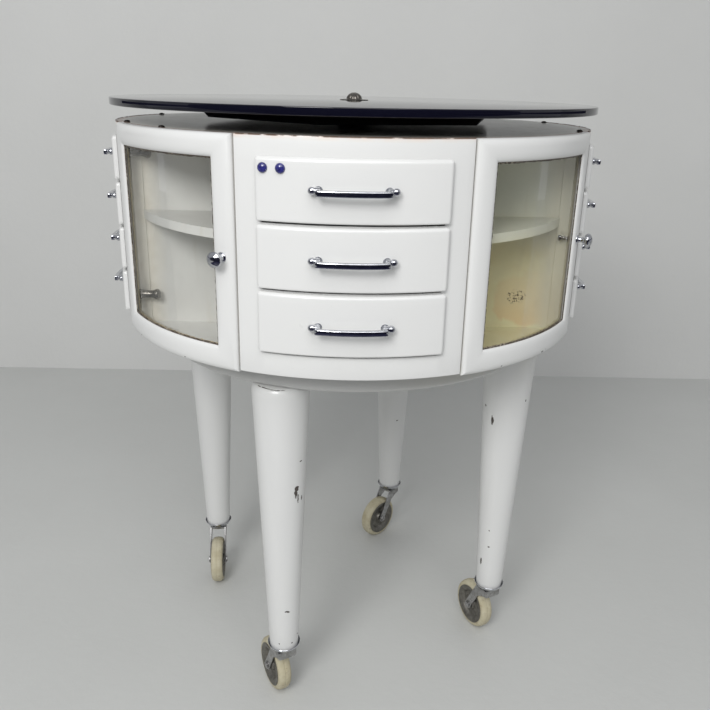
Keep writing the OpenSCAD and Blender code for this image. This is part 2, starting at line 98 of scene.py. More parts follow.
def add(name, verts, faces, mat, sharp=35, place=None, mods=()):
    """Makes a mesh object, with its modifiers applied and edges over the sharp angle kept crisp."""
    me = bpy.data.meshes.new(name)
    me.from_pydata([tuple(v) for v in verts], [], faces)
    me.validate()
    ob = bpy.data.objects.new(name, me)
    bpy.context.scene.collection.objects.link(ob)
    if mods:
        for kind, settings in mods:
            mod = ob.modifiers.new(kind.lower(), kind)
            for key, value in settings.items():
                setattr(mod, key, value)
        deps = bpy.context.evaluated_depsgraph_get()
        baked = bpy.data.meshes.new_from_object(ob.evaluated_get(deps))
        ob.modifiers.clear()
        ob.data = baked
        bpy.data.meshes.remove(me)
        me = baked
        me.name = name
    if place is not None:
        me.transform(place)
    bm = bmesh.new()
    bm.from_mesh(me)
    bmesh.ops.recalc_face_normals(bm, faces=bm.faces)
    bm.to_mesh(me)
    bm.free()
    me.shade_smooth()
    me.set_sharp_from_angle(angle=rad(sharp))
    me.materials.clear()
    me.materials.append(mat)
    return ob


def ring_faces(rings, count, closed_rings=False):
    """Quads between rings of count vertices each."""
    faces = []
    last = rings if closed_rings else rings - 1
    for i in range(last):
        for j in range(count):
            a, b = i * count + j, i * count + (j + 1) % count
            c, d = ((i + 1) % rings) * count + (j + 1) % count, ((i + 1) % rings) * count + j
            faces.append((a, b, c, d))
    return faces


def lathe(name, profile, mat, place=None, seg=64, sharp=35, ripple=None):
    """Turned shape: profile is (radius, height) pairs, closed on the axis or back on itself."""
    on_axis = profile[0][0] < 1e-9 and profile[-1][0] < 1e-9
    body = profile[1:-1] if on_axis else profile
    verts = []
    for r, z in body:
        for j in range(seg):
            a = 2 * math.pi * j / seg
            k = r * (1 + ripple(a, z)) if ripple else r
            verts.append((k * math.cos(a), k * math.sin(a), z))
    faces = ring_faces(len(body), seg, closed_rings=not on_axis)
    if on_axis:
        for end, row in ((profile[0][1], 0), (profile[-1][1], len(body) - 1)):
            tip = len(verts)
            verts.append((0, 0, end))
            faces += [(row * seg + j, row * seg + (j + 1) % seg, tip) for j in range(seg)]
    return add(name, verts, faces, mat, sharp, place)


def sweep(name, path, section, scales, mat, place, sharp):
    """Section (side, up) carried along an open level path and scaled at each point, with flat ends."""
    verts, up_axis = [], Vector((0, 0, 1))
    for i, p in enumerate(path):
        t = (path[min(i + 1, len(path) - 1)] - path[max(i - 1, 0)]).normalized()
        side = t.cross(up_axis).normalized()
        verts += [p + side * (s * scales[i]) + up_axis * (u * scales[i]) for s, u in section]
    n = len(section)
    ends = [tuple(range(n)), tuple(range((len(path) - 1) * n, len(path) * n))]
    return add(name, verts, ring_faces(len(path), n) + ends, mat, sharp, place)


def rounded(w, h, r):
    """Outline of a rounded rectangle."""
    pts, steps = [], 4
    for q, (cx, cy) in enumerate(((1, 1), (-1, 1), (-1, -1), (1, -1))):
        for k in range(steps + 1):
            a = rad(90 * q + 90 * k / steps)
            pts.append((cx * (w / 2 - r) + r * math.cos(a), cy * (h / 2 - r) + r * math.sin(a)))
    return pts


def arc_profile(cx, cz, r, a0, a1, n):
    angles = [rad(a0 + (a1 - a0) * i / n) for i in range(n + 1)]
    return [(cx + r * math.cos(a), cz + r * math.sin(a)) for a in angles]


def join(name, objs):
    """Joins meshes of one material into one object."""
    bm = bmesh.new()
    for o in objs:
        bm.from_mesh(o.data)
    me = bpy.data.meshes.new(name)
    bm.to_mesh(me)
    bm.free()
    me.materials.append(objs[0].data.materials[0])
    for o in objs:
        old = o.data
        bpy.data.objects.remove(o)
        bpy.data.meshes.remove(old)
    ob = bpy.data.objects.new(name, me)
    bpy.context.scene.collection.objects.link(ob)
    return ob


def repaint(node, mat):
    """Gives a CAD node that stays visible its finished material."""
    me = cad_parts[node].data
    me.materials.clear()
    me.materials.append(mat)


def stands(ob, body, slot, *nodes):
    """Puts a piece on a body, in place of CAD nodes. The slot argument is not used."""
    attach(ob, body)
    if nodes:
        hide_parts(*nodes)
    return ob


# ---------- Materials ----------


class Finish:
    """A Principled material with object-space procedural textures."""

    def __init__(self, name, **values):
        self.mat = bpy.data.materials.new(name)
        self.mat.use_nodes = True
        self.nt = self.mat.node_tree
        self.bsdf = self.nt.nodes["Principled BSDF"]
        self.co = self.nt.nodes.new("ShaderNodeTexCoord").outputs["Object"]
        for key, value in values.items():
            self.bsdf.inputs[key.replace("_", " ")].default_value = value

    def node(self, kind, inputs, out=0, **props):
        n = self.nt.nodes.new(kind)
        for key, value in props.items():
            setattr(n, key, value)
        for key, value in inputs.items():
            if isinstance(value, bpy.types.NodeSocket):
                self.nt.links.new(value, n.inputs[key])
            else:
                n.inputs[key].default_value = value
        return n.outputs[out]

    def noise(self, scale, detail=3.0, rough=0.55, distortion=0.0, vec=None):
        return self.node("ShaderNodeTexNoise", {"Vector": vec or self.co, "Scale": scale, "Detail": detail,
                                                "Roughness": rough, "Distortion": distortion})

    def stretch(self, x, y, z):
        return self.node("ShaderNodeVectorMath", {0: self.co, 1: (x, y, z)}, operation="MULTIPLY")

    def math(self, op, a, b=0.0, clamp=False):
        return self.node("ShaderNodeMath", {0: a, 1: b}, operation=op, use_clamp=clamp)

    def band(self, value, lo, hi, out_lo=0.0, out_hi=1.0):
        return self.node("ShaderNodeMapRange", {0: value, 1: lo, 2: hi, 3: out_lo, 4: out_hi}, clamp=True)

    def mix(self, fac, a, b):
        a, b = (c if isinstance(c, bpy.types.NodeSocket) else (*c, 1.0) for c in (a, b))
        return self.node("ShaderNodeMix", {0: fac, 6: a, 7: b}, out=2, data_type="RGBA")

    def axis(self, which):
        return self.node("ShaderNodeSeparateXYZ", {0: self.co}, out="XYZ".index(which))

    def radius(self):
        flat = self.stretch(1, 1, 0)
        return self.node("ShaderNodeVectorMath", {0: flat}, out=1, operation="LENGTH")

    def spots(self, places, ragged=0.9, scale=260):
        """Mask of chips: each place is a centre and its half sizes, with a ragged edge."""
        nearest = None
        for centre, size in places:
            v = self.node("ShaderNodeVectorMath", {0: self.co, 1: tuple(centre)}, operation="SUBTRACT")
            v = self.node("ShaderNodeVectorMath", {0: v, 1: tuple(1 / s for s in size)}, operation="MULTIPLY")
            d = self.node("ShaderNodeVectorMath", {0: v}, out=1, operation="LENGTH")
            nearest = d if nearest is None else self.math("MINIMUM", nearest, d)
        rough = self.math("MULTIPLY", self.math("SUBTRACT", self.noise(scale, 4), 0.5), ragged * 2)
        return self.band(self.math("ADD", nearest, rough), 1.06, 0.94)

    def bump(self, height, distance, strength=1.0, under=None):
        inputs = {"Height": height, "Distance": distance, "Strength": strength}
        if under:
            inputs["Normal"] = under
        return self.node("ShaderNodeBump", inputs)

    def set(self, **sockets):
        for key, value in sockets.items():
            self.nt.links.new(value, self.bsdf.inputs[key.replace("_", " ")])
        return self.mat


def dirt_mix(a, b, k):
    return tuple(x + (y - x) * k for x, y in zip(a, b))


def enamel(name, tint=(0.745, 0.745, 0.73), dirt=(0.66, 0.655, 0.62), chips=(), rim_z=None):
    """Stoved enamel, with chips at given places, rust along an upper rim at rim_z and a painted peach
    highlight just under that rim.
    """
    f = Finish(name, Coat_Weight=0.35, Coat_Roughness=0.12, IOR=1.5)
    cloud = f.noise(7, 4)
    colour = f.mix(f.band(cloud, 0.3, 0.8), tint, dirt_mix(tint, dirt, 0.16))
    specks = f.band(f.noise(900, 2, 0.4), 0.76, 0.80)
    colour = f.mix(f.math("MULTIPLY", specks, 0.5), colour, (0.42, 0.37, 0.30))
    rough = f.band(f.noise(30, 3), 0.2, 0.8, 0.27, 0.34)
    height = f.math("ADD", f.noise(420, 2), f.math("MULTIPLY", f.noise(22, 2), 6.0))
    normal = f.bump(height, 0.00003)
    masks = []
    if chips:
        masks.append(f.spots(chips))
    if rim_z:
        # Painted highlight: a peach tint a few millimetres under the rim, for light catching the rusty edge.
        near_rim = f.band(f.axis("Z"), rim_z - 6 * MM, rim_z - 1 * MM)
        tint_patch = f.math("MULTIPLY", near_rim, f.band(f.noise(40, 3), 0.3, 0.6))
        colour = f.mix(f.math("MULTIPLY", tint_patch, 0.4), colour, (0.80, 0.56, 0.40))
        along = f.band(f.noise(60, 4), 0.36, 0.5)
        masks.append(f.math("MULTIPLY", f.band(f.axis("Z"), rim_z - 1.7 * MM, rim_z - 0.8 * MM), along))
    if masks:
        mask = masks[0] if len(masks) == 1 else f.math("MAXIMUM", *masks)
        rusty = (0.20, 0.10, 0.055) if rim_z else (0.11, 0.09, 0.075)
        chip = f.mix(f.noise(500, 3), (0.04, 0.034, 0.03), rusty)
        colour = f.mix(mask, colour, chip)
        rough = f.math("ADD", rough, f.math("MULTIPLY", mask, 0.4))
        normal = f.bump(mask, -0.0003, 1.0, normal)
    return f.set(Base_Color=colour, Roughness=rough, Normal=normal)


def metal(name, light, dark, rough, rust, scale, rust_at):
    """Tarnished metal from light to dark, with rust where a noise passes the band rust_at."""
    f = Finish(name)
    tarnish = f.noise(scale, 5, 0.6)
    colour = f.mix(f.band(tarnish, 0.3, 0.75), light, dark)
    roughness = f.band(f.noise(scale * 0.6, 4), 0.3, 0.7, *rough)
    normal = f.bump(f.noise(scale * 5, 3), 0.00003)
    metallic = f.band(tarnish, 0.8, 0.95, 1.0, 0.7)
    mask = f.band(f.noise(scale * 0.8, 6, 0.7, 0.4), *rust_at)
    deep_rust = dirt_mix(rust, (0.02, 0.015, 0.01), 0.7)
    colour = f.mix(mask, colour, f.mix(f.noise(600, 3), rust, deep_rust))
    roughness = f.math("ADD", roughness, f.math("MULTIPLY", mask, 0.5), clamp=True)
    metallic = f.math("SUBTRACT", metallic, f.math("MULTIPLY", mask, 0.9), clamp=True)
    normal = f.bump(mask, 0.0002, 0.6, normal)
    return f.set(Base_Color=colour, Roughness=roughness, Normal=normal, Metallic=metallic)


chrome = metal("chrome", (0.66, 0.67, 0.70), (0.42, 0.43, 0.46), (0.05, 0.14),
               (0.16, 0.09, 0.05), 140, (0.74, 0.80))
dull_steel = metal("dull_steel", (0.52, 0.52, 0.52), (0.26, 0.25, 0.24), (0.25, 0.45),
                   (0.17, 0.08, 0.04), 150, (0.60, 0.74))
arm_steel = metal("arm_steel", (0.24, 0.225, 0.205), (0.08, 0.07, 0.06), (0.2, 0.4),
                  (0.10, 0.05, 0.03), 160, (0.62, 0.74))
hub_steel = metal("hub_steel", (0.30, 0.29, 0.26), (0.14, 0.13, 0.115), (0.4, 0.6),
                  (0.17, 0.09, 0.045), 110, (0.60, 0.76))


def rubber_finish():
    f = Finish("cream_rubber", IOR=1.45)
    colour = f.mix(f.band(f.noise(45, 5, 0.6), 0.35, 0.7), (0.56, 0.52, 0.38), (0.45, 0.40, 0.265))
    grime = f.math("MULTIPLY", f.band(f.noise(150, 6, 0.75), 0.55, 0.70), 0.55)
    colour = f.mix(grime, colour, (0.22, 0.14, 0.09))
    return f.set(Base_Color=colour, Roughness=f.band(f.noise(90, 3), 0.3, 0.7, 0.55, 0.8),
                 Normal=f.bump(f.noise(520, 5), 0.0003))


STAIN_AT, RUST_AT = (0.266, -0.1373, 0.636), (0.2418, -0.1373, 0.639)
JAMB_R0, JAMB_R1 = 0.300, 0.318


def interior_finish(name, jambs=False):
    """Old enamel inside the compartments: grey, with the right front one stained olive and rusty.

    With jambs, the strips behind the door's edges are cream.
    """
    f = Finish(name, Coat_Weight=0.2, Coat_Roughness=0.25)
    cloud = f.band(f.noise(9, 5, 0.6), 0.3, 0.7)
    clean = f.mix(cloud, (0.69, 0.69, 0.672), (0.63, 0.625, 0.605))
    grey_green = f.mix(cloud, (0.70, 0.715, 0.62), (0.65, 0.645, 0.54))
    yellow = f.mix(f.band(f.noise(11, 5, 0.65, 0.6), 0.35, 0.68), (0.78, 0.755, 0.52), (0.71, 0.635, 0.38))
    olive = f.mix(f.band(f.axis("Z"), 0.76, 0.70), grey_green, yellow)
    in_right = f.math("MULTIPLY", f.band(f.axis("X"), 0.05, 0.12), f.band(f.axis("Y"), -0.08, -0.12))
    colour = f.mix(in_right, clean, olive)
    streak = f.noise(16, 4, 0.6, 0.0, f.stretch(3.0, 3.0, 0.35))
    colour = f.mix(f.math("MULTIPLY", f.band(streak, 0.58, 0.78), 0.22), colour, (0.42, 0.36, 0.24))
    low = f.band(f.axis("Z"), 0.70, 0.60)
    tint_patch = f.math("MULTIPLY", f.spots([(STAIN_AT, (0.055, 0.05, 0.042))], 0.5, 30), low)
    colour = f.mix(f.math("MULTIPLY", tint_patch, 0.42), colour, (0.72, 0.42, 0.19))
    cluster = f.spots([(RUST_AT, (0.013, 0.02, 0.012))], 0.3, 60)
    rust = f.math("MULTIPLY", f.band(f.noise(520, 3, 0.6), 0.545, 0.57), cluster)
    colour = f.mix(rust, colour, (0.05, 0.022, 0.01))
    if jambs:
        cream = f.mix(f.band(f.noise(60, 4), 0.4, 0.7), (0.80, 0.765, 0.68), (0.70, 0.655, 0.56))
        cream = f.mix(in_right, cream, (0.60, 0.575, 0.46))
        colour = f.mix(f.math("MULTIPLY", f.band(f.radius(), JAMB_R0, JAMB_R1), 0.8), colour, cream)
    return f.set(Base_Color=colour, Roughness=f.band(f.noise(40, 3), 0.3, 0.7, 0.35, 0.55),
                 Normal=f.bump(f.noise(200, 3), 0.00008))


def worn_top_finish():
    """The plate under the revolving top: grey-white enamel, rusty along its rim, with painted shade near the
    hub.
    """
    f = Finish("worn_enamel", Coat_Weight=0.6, Coat_Roughness=0.14)
    colour = f.mix(f.band(f.noise(14, 5), 0.3, 0.7), (0.66, 0.635, 0.58), (0.56, 0.53, 0.465))
    wipe = f.band(f.noise(60, 5, 0.65), 0.55, 0.75)
    colour = f.mix(f.math("MULTIPLY", wipe, 0.4), colour, (0.30, 0.26, 0.20))
    r = f.radius()
    rim = f.math("MULTIPLY", f.band(r, 0.334, 0.340), f.band(f.noise(55, 5, 0.7), 0.34, 0.48))
    colour = f.mix(rim, colour, f.mix(f.noise(400, 3), (0.34, 0.13, 0.055), (0.15, 0.06, 0.03)))
    # Painted shade: near black towards the hub, where the board and the disc shade the plate.
    hub = f.band(f.math("ADD", r, f.math("MULTIPLY", f.noise(30, 4), 0.03)), 0.075, 0.035)
    colour = f.mix(hub, colour, (0.06, 0.05, 0.045))
    return f.set(Base_Color=colour, Roughness=f.band(wipe, 0, 1, 0.45, 0.65),
                 Normal=f.bump(f.noise(300, 4), 0.00003))


def black_glass_finish():
    f = Finish("black_glass", IOR=1.52, Coat_Weight=0.0)
    smear = f.noise(9, 5, 0.6, 1.2)
    dust = f.band(f.noise(1400, 2), 0.70, 0.78)
    colour = f.mix(f.math("MULTIPLY", dust, 0.35), (0.004, 0.004, 0.010), (0.10, 0.10, 0.11))
    return f.set(Base_Color=colour, Roughness=f.band(smear, 0.3, 0.75, 0.015, 0.06))


def board_finish():
    # Painted shade: the board's near-black colour stands in for the deep shade under the disc, with a wood
    # grain on it.
    f = Finish("black_board", Coat_Weight=0.2, Coat_Roughness=0.25)
    grain = f.noise(60, 5, 0.6, 0.3, f.stretch(1.0, 6.0, 6.0))
    colour = f.mix(f.band(grain, 0.3, 0.7), (0.010, 0.010, 0.011), (0.022, 0.020, 0.019))
    return f.set(Base_Color=colour, Roughness=f.band(grain, 0.3, 0.7, 0.4, 0.6), Normal=f.bump(grain, 0.0002))


def blue_finish():
    f = Finish("blue_enamel", Coat_Weight=0.8, Coat_Roughness=0.04)
    colour = f.mix(f.band(f.noise(260, 3), 0.35, 0.7), (0.035, 0.035, 0.22), (0.015, 0.015, 0.10))
    return f.set(Base_Color=colour, Roughness=f.band(f.noise(180, 2), 0.3, 0.7, 0.15, 0.28))


def screw_finish():
    f = Finish("black_screw", Metallic=0.6)
    colour = f.mix(f.band(f.noise(700, 4), 0.4, 0.7), (0.02, 0.02, 0.022), (0.09, 0.06, 0.045))
    return f.set(Base_Color=colour, Roughness=f.band(f.noise(400, 2), 0.3, 0.7, 0.35, 0.6))


def putty_finish():
    f = Finish("putty")
    colour = f.mix(f.band(f.noise(380, 5, 0.7), 0.42, 0.66), (0.66, 0.58, 0.40), (0.30, 0.22, 0.12))
    return f.set(Base_Color=colour, Roughness=f.band(f.noise(200, 2), 0.3, 0.7, 0.6, 0.85),
                 Normal=f.bump(f.noise(700, 4), 0.0003))


def bead_finish():
    f = Finish("sealing_bead")
    speck = f.band(f.noise(480, 4, 0.7), 0.53, 0.63)
    colour = f.mix(speck, (0.055, 0.038, 0.026), (0.55, 0.50, 0.40))
    return f.set(Base_Color=colour, Roughness=f.band(speck, 0, 1, 0.5, 0.8), Normal=f.bump(speck, 0.0003))


def pane_finish():
    """Clear glass that lets light straight through, mirrors by Fresnel and carries a little dust."""
    f = Finish("clear_glass", Roughness=0.04, IOR=1.5)
    f.bsdf.inputs["Base Color"].default_value = (0.55, 0.58, 0.52, 1)
    clear = f.node("ShaderNodeBsdfTransparent", {"Color": (0.995, 0.995, 0.985, 1)})
    gloss = f.node("ShaderNodeBsdfGlossy", {"Color": (1, 1, 1, 1), "Roughness": 0.02})
    fresnel = f.node("ShaderNodeFresnel", {"IOR": 1.2})
    glass = f.node("ShaderNodeMixShader", {0: f.math("MULTIPLY", fresnel, 0.25), 1: clear, 2: gloss})
    dust = f.band(f.noise(35, 6, 0.65), 0.45, 0.8, 0.004, 0.03)
    both = f.node("ShaderNodeMixShader", {0: dust, 1: glass, 2: f.bsdf.outputs[0]})
    f.nt.links.new(both, f.nt.nodes["Material Output"].inputs["Surface"])
    return f.mat


white = enamel("white_enamel")
body_white = enamel("body_enamel", rim_z=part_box("bank_panels")[1].z)
# Painted shade: the base pan gets a darker grey than the body's enamel, for the shade under the drum.
pan_painted_shade = enamel("pan_enamel_painted_shade", (0.52, 0.52, 0.505), (0.40, 0.39, 0.36))
interior = interior_finish("interior_enamel")
wall_enamel = interior_finish("wall_enamel", True)
worn_top = worn_top_finish()
rubber = rubber_finish()
black_glass = black_glass_finish()
board_painted_shade = board_finish()
blue = blue_finish()
screw_black = screw_finish()
putty = putty_finish()
bead_mat = bead_finish()
pane_glass = pane_finish()

# ---------- Main measures, taken from the frame ----------

panel_lo, panel_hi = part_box("bank_panels")
DRUM_R = panel_hi.x
DRUM_Z0, DRUM_Z1 = panel_lo.z, panel_hi.z
SEAM = 23.5
FACE_AZ = 18.7
SKIN = 3 * MM
FACE_R0, FACE_R1 = DRUM_R + 0.4 * MM, DRUM_R + 7 * MM
QUARTERS = {"front": 0, "right": 90, "back": 180, "left": -90}
SIDE_BANKS = {"front": 3, "right": 4, "left": 4}


# ---------- Bank panels ----------


def bank_panel(side, turn):
    """Curved skin of one drawer bank, with a hole behind each drawer face and rounded edges."""
    holes = []
    for i in range(SIDE_BANKS.get(side, 0)):
        lo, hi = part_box(f"{side}_drawer_{i + 1}")
        holes.append((lo.z - 2.6 * MM, hi.z - 9 * MM))
    half, hole_half = SEAM - 0.15, FACE_AZ - 0.8
    azs = sorted({half * k / 16 for k in range(-16, 17)} | {-hole_half, hole_half})
    zs = sorted({DRUM_Z0, DRUM_Z1} | {z for h in holes for z in h})
    verts = [at(a, DRUM_R, z) for z in zs for a in azs]
    faces = []
    for i in range(len(zs) - 1):
        for j in range(len(azs) - 1):
            mid_z, mid_a = (zs[i] + zs[i + 1]) / 2, (azs[j] + azs[j + 1]) / 2
            if abs(mid_a) < hole_half and any(a < mid_z < b for a, b in holes):
                continue
            k = i * len(azs) + j
            faces.append((k, k + 1, k + 1 + len(azs), k + len(azs)))
    mods = [("SOLIDIFY", {"thickness": SKIN, "offset": -1, "use_even_offset": True}),
            ("BEVEL", {"width": 1.3 * MM, "segments": 3, "limit_method": "ANGLE", "angle_limit": rad(40)})]
    return add(f"bank_panel_{side}", verts, faces, body_white, 30, turned(turn), mods)


for side, turn in QUARTERS.items():
    stands(bank_panel(side, turn), "drum", "white_enamel", "bank_panels")

# ---------- Doors ----------

DOORS = {"right_front": 0, "right_rear": 90, "left_rear": 180, "left_front": -90}
DOOR_LO, DOOR_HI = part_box("right_front_door_frame")
GLASS_LO, GLASS_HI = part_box("right_front_door_glass")
REBATE = 8 * MM
WINDOW_Z0, WINDOW_Z1 = GLASS_LO.z + REBATE - 0.5 * MM, GLASS_HI.z - REBATE + 0.5 * MM
DOOR_A0, DOOR_A1 = SEAM + 0.25, 90 - SEAM - 0.25
WINDOW_A0 = SEAM + 5.1
DOOR_IN = DRUM_R - 7.5 * MM
LIP_R = DRUM_R - 1.3 * MM
CROWN_R = DRUM_R + 3.6 * MM


def frame_loop(section, n_a, n_z, jitter=0.0):
    """Rings round a door's frame: section is (share of the width, extra offset, radius, shake)."""
    stile, sill, head = rad(WINDOW_A0 - DOOR_A0) * DRUM_R, WINDOW_Z0 - DOOR_LO.z, DOOR_HI.z - WINDOW_Z1
    count = 2 * (n_a + n_z)
    shake = [[rnd.uniform(-1, 1) for _ in section] for _ in range(count)]
    verts = []
    for i in range(count):
        if i < n_a:
            u, v = i / n_a, 0
        elif i < n_a + n_z:
            u, v = 1, (i - n_a) / n_z
        elif i < 2 * n_a + n_z:
            u, v = 1 - (i - n_a - n_z) / n_a, 1
        else:
            u, v = 0, 1 - (i - 2 * n_a - n_z) / n_z
        for k, (share, extra, r, loose) in enumerate(section):
            wobble = shake[i][k] * jitter * loose
            side = math.degrees((stile * share + extra + wobble) / DRUM_R)
            low, high = sill * share + extra + wobble, head * share + extra + wobble
            az = DOOR_A0 + side + (DOOR_A1 - DOOR_A0 - 2 * side) * u
            z = DOOR_LO.z + low + (DOOR_HI.z - high - DOOR_LO.z - low) * v
            verts.append(at(az, r, z))
    return verts, ring_faces(count, len(section), closed_rings=True)


DOOR_CHIPS = {
    "right_front": ((48.5, 4.4, 3.0, 1.3), (50, 5.8, 1.4, 1.1), (34, 3.8, 1.5, 0.8), (60, 4.8, 1.4, 0.9)),
    "left_front": ((-38, 3.8, 1.4, 0.8), (-57, 4.6, 1.6, 0.9)),
}


def door_paint(name):
    """Enamel with chips low on the moulding, from their azimuth, height, half width and half height in mm."""
    if name not in DOOR_CHIPS:
        return white
    chips = [(at(az, DRUM_R + 1.5 * MM, DOOR_LO.z + up * MM), (w * MM, w * MM, h * MM))
             for az, up, w, h in DOOR_CHIPS[name]]
    return enamel(f"door_enamel_{name}", chips=chips)


MOULDING_STEPS = (4, 10, 17, 25, 34, 44, 55, 67, 79)


def moulding(side, low_r, steps):
    """Half of the rounded moulding, from radius low_r up to the crown: side is -1 outside, 1 inside."""
    rise = CROWN_R - low_r
    return [(0.5 + side * 0.5 * math.cos(rad(a)) ** 0.8, 0, low_r + rise * math.sin(rad(a)) ** 0.9, 0)
            for a in steps]


def door_frame(name, turn):
    outer = [(0, 0, DRUM_R - 3.5 * MM, 0)] + moulding(-1, DRUM_R - 2.6 * MM, MOULDING_STEPS)
    inner = moulding(1, LIP_R, MOULDING_STEPS[::-1] + (0,))
    back = [(1, 0, LIP_R - 0.6 * MM, 0), (1, -REBATE - 0.3 * MM, LIP_R - 0.6 * MM, 0),
            (1, -REBATE - 0.3 * MM, DOOR_IN, 0), (0, 0, DOOR_IN, 0)]
    crown = [(0.5, 0, CROWN_R, 0)]
    verts, faces = frame_loop(outer + crown + inner + back, 26, 6)
    return add(f"door_frame_{name}", verts, faces, door_paint(name), 28, turned(turn))


TRIM_STEPS = (70, 90)


def door_trim(name, turn):
    """Irregular sealing bead outside the pane and putty inside it."""
    bead = [(1, -1.2 * MM, LIP_R + 0.5 * MM, 0.2), (1, 0.9 * MM, LIP_R + 0.1 * MM, 0.8),
            (1, 2.1 * MM, LIP_R - 0.75 * MM, 1), (1, -1.2 * MM, LIP_R - 0.8 * MM, 0)]
    verts, faces = frame_loop(bead, *TRIM_STEPS, 0.55 * MM)
    bead_ob = add(f"glass_bead_{name}", verts, faces, bead_mat, 50, turned(turn))
    fill = [(1, -7.8 * MM, DOOR_IN + 0.3 * MM, 0), (1, -0.8 * MM, DOOR_IN + 1.0 * MM, 0.8),
            (1, 1.4 * MM, DOOR_IN + 2.1 * MM, 1), (1, -7.8 * MM, DOOR_IN + 2.2 * MM, 0)]
    verts, faces = frame_loop(fill, *TRIM_STEPS, 0.7 * MM)
    putty_ob = add(f"putty_{name}", verts, faces, putty, 50, turned(turn))
    return bead_ob, putty_ob


def knob(name, az, z, turn):
    """Turned chrome knob on its foot and neck."""
    prof = mm((0, -1), (6.6, -1), (6.8, 0.4), (6.3, 1.4), (4.3, 2.6), (3.5, 5), (3.5, 8), (4.6, 10.2),
              (8.0, 11.4))
    prof += arc_profile(7 * MM, 15.5 * MM, 3 * MM, -60, 60, 8)
    prof += mm((6.2, 19.9), (3.2, 20.9), (0, 21.2))
    return lathe(f"knob_{name}", prof, chrome, turned(turn) @ facing(az, DRUM_R + 2.9 * MM, z), 48)


ARM_X, ARM_Y, ARM_REACH = 149.5 * MM, 304 * MM, 28 * MM


def hinge_arm(name, z, turn):
    """Arm standing inside the door beside its hinge, with a rounded end, on a screwed foot plate."""
    prof = mm((0, -1.2), (7.2, -1.2), (7.4, 0.6), (6.6, 2.0), (5.8, 4.5))
    prof += mm((5.4, -11), (6.0, -8.5), (7.4, -6), (7.8, -3.5), up=ARM_REACH)
    prof += [(r, ARM_REACH - 3 * MM + q * 0.5) for r, q in arc_profile(0, 0, 7.4 * MM, 8, 80, 6)]
    prof += mm((0, 0.8), up=ARM_REACH)
    base = turned(turn) @ Matrix.Translation((ARM_X, -ARM_Y, z))
    parts = [lathe("arm", prof, arm_steel, base @ Matrix.Rotation(rad(-90), 4, "X"), 32)]
    az = math.degrees(math.asin(ARM_X / DOOR_IN))
    face = turned(turn) @ Matrix.Translation(at(az, DOOR_IN - 0.7 * MM, z - 7 * MM)) @ turned(az)
    parts.append(add("foot", *box_mesh(11 * MM, 1.6 * MM, 30 * MM), arm_steel, 35, face,
                     [("BEVEL", {"width": 0.6 * MM, "segments": 2})]))
    for up in (-11.5 * MM, -5 * MM):
        screw = mm((0, -1), (2.2, -1), (2.1, 0.5), (1.3, 1.1), (0, 1.3))
        lie = Matrix.Translation((0, 0.8 * MM, up)) @ Matrix.Rotation(rad(-90), 4, "X")
        parts.append(lathe("screw", screw, arm_steel, face @ lie, 20))
    return join(f"hinge_arm_{name}", parts)


def box_mesh(w, d, h):
    x, y, z = w / 2, d / 2, h / 2
    verts = [(i * x, j * y, k * z) for i in (-1, 1) for j in (-1, 1) for k in (-1, 1)]
    return verts, [(0, 1, 3, 2), (4, 6, 7, 5), (0, 4, 5, 1), (2, 3, 7, 6), (0, 2, 6, 4), (1, 5, 7, 3)]


KNOB_AZ, KNOB_Z = 90 - SEAM - 3, 0.729
ARM_ZS = {"lower": 0.636, "upper": 0.835}
for name, turn in DOORS.items():
    body = f"{name}_door"
    stands(door_frame(name, turn), body, "white_enamel", f"{name}_door_frame")
    for trim in door_trim(name, turn):
        stands(trim, body, "white_enamel")
    stands(knob(name, KNOB_AZ, KNOB_Z, turn), body, "chrome", f"{name}_door_fittings")
    back_screw = mm((0, -16), (2.4, -15.8), (3.9, -14.6), (4.1, -12.6), (2.4, -11.6), (2.2, -3), (4.4, -1.8),
                    (4.6, 0.4), (0, 0.4))
    place = turned(turn) @ facing(KNOB_AZ, DOOR_IN, KNOB_Z)
    stands(lathe(f"knob_screw_{name}", back_screw, arm_steel, place, 32), body, "chrome")
    for level, z in ARM_ZS.items():
        stands(hinge_arm(f"{level}_{name}", z, turn), body, "chrome")
    repaint(f"{name}_door_glass", pane_glass)

# ---------- Drawers ----------


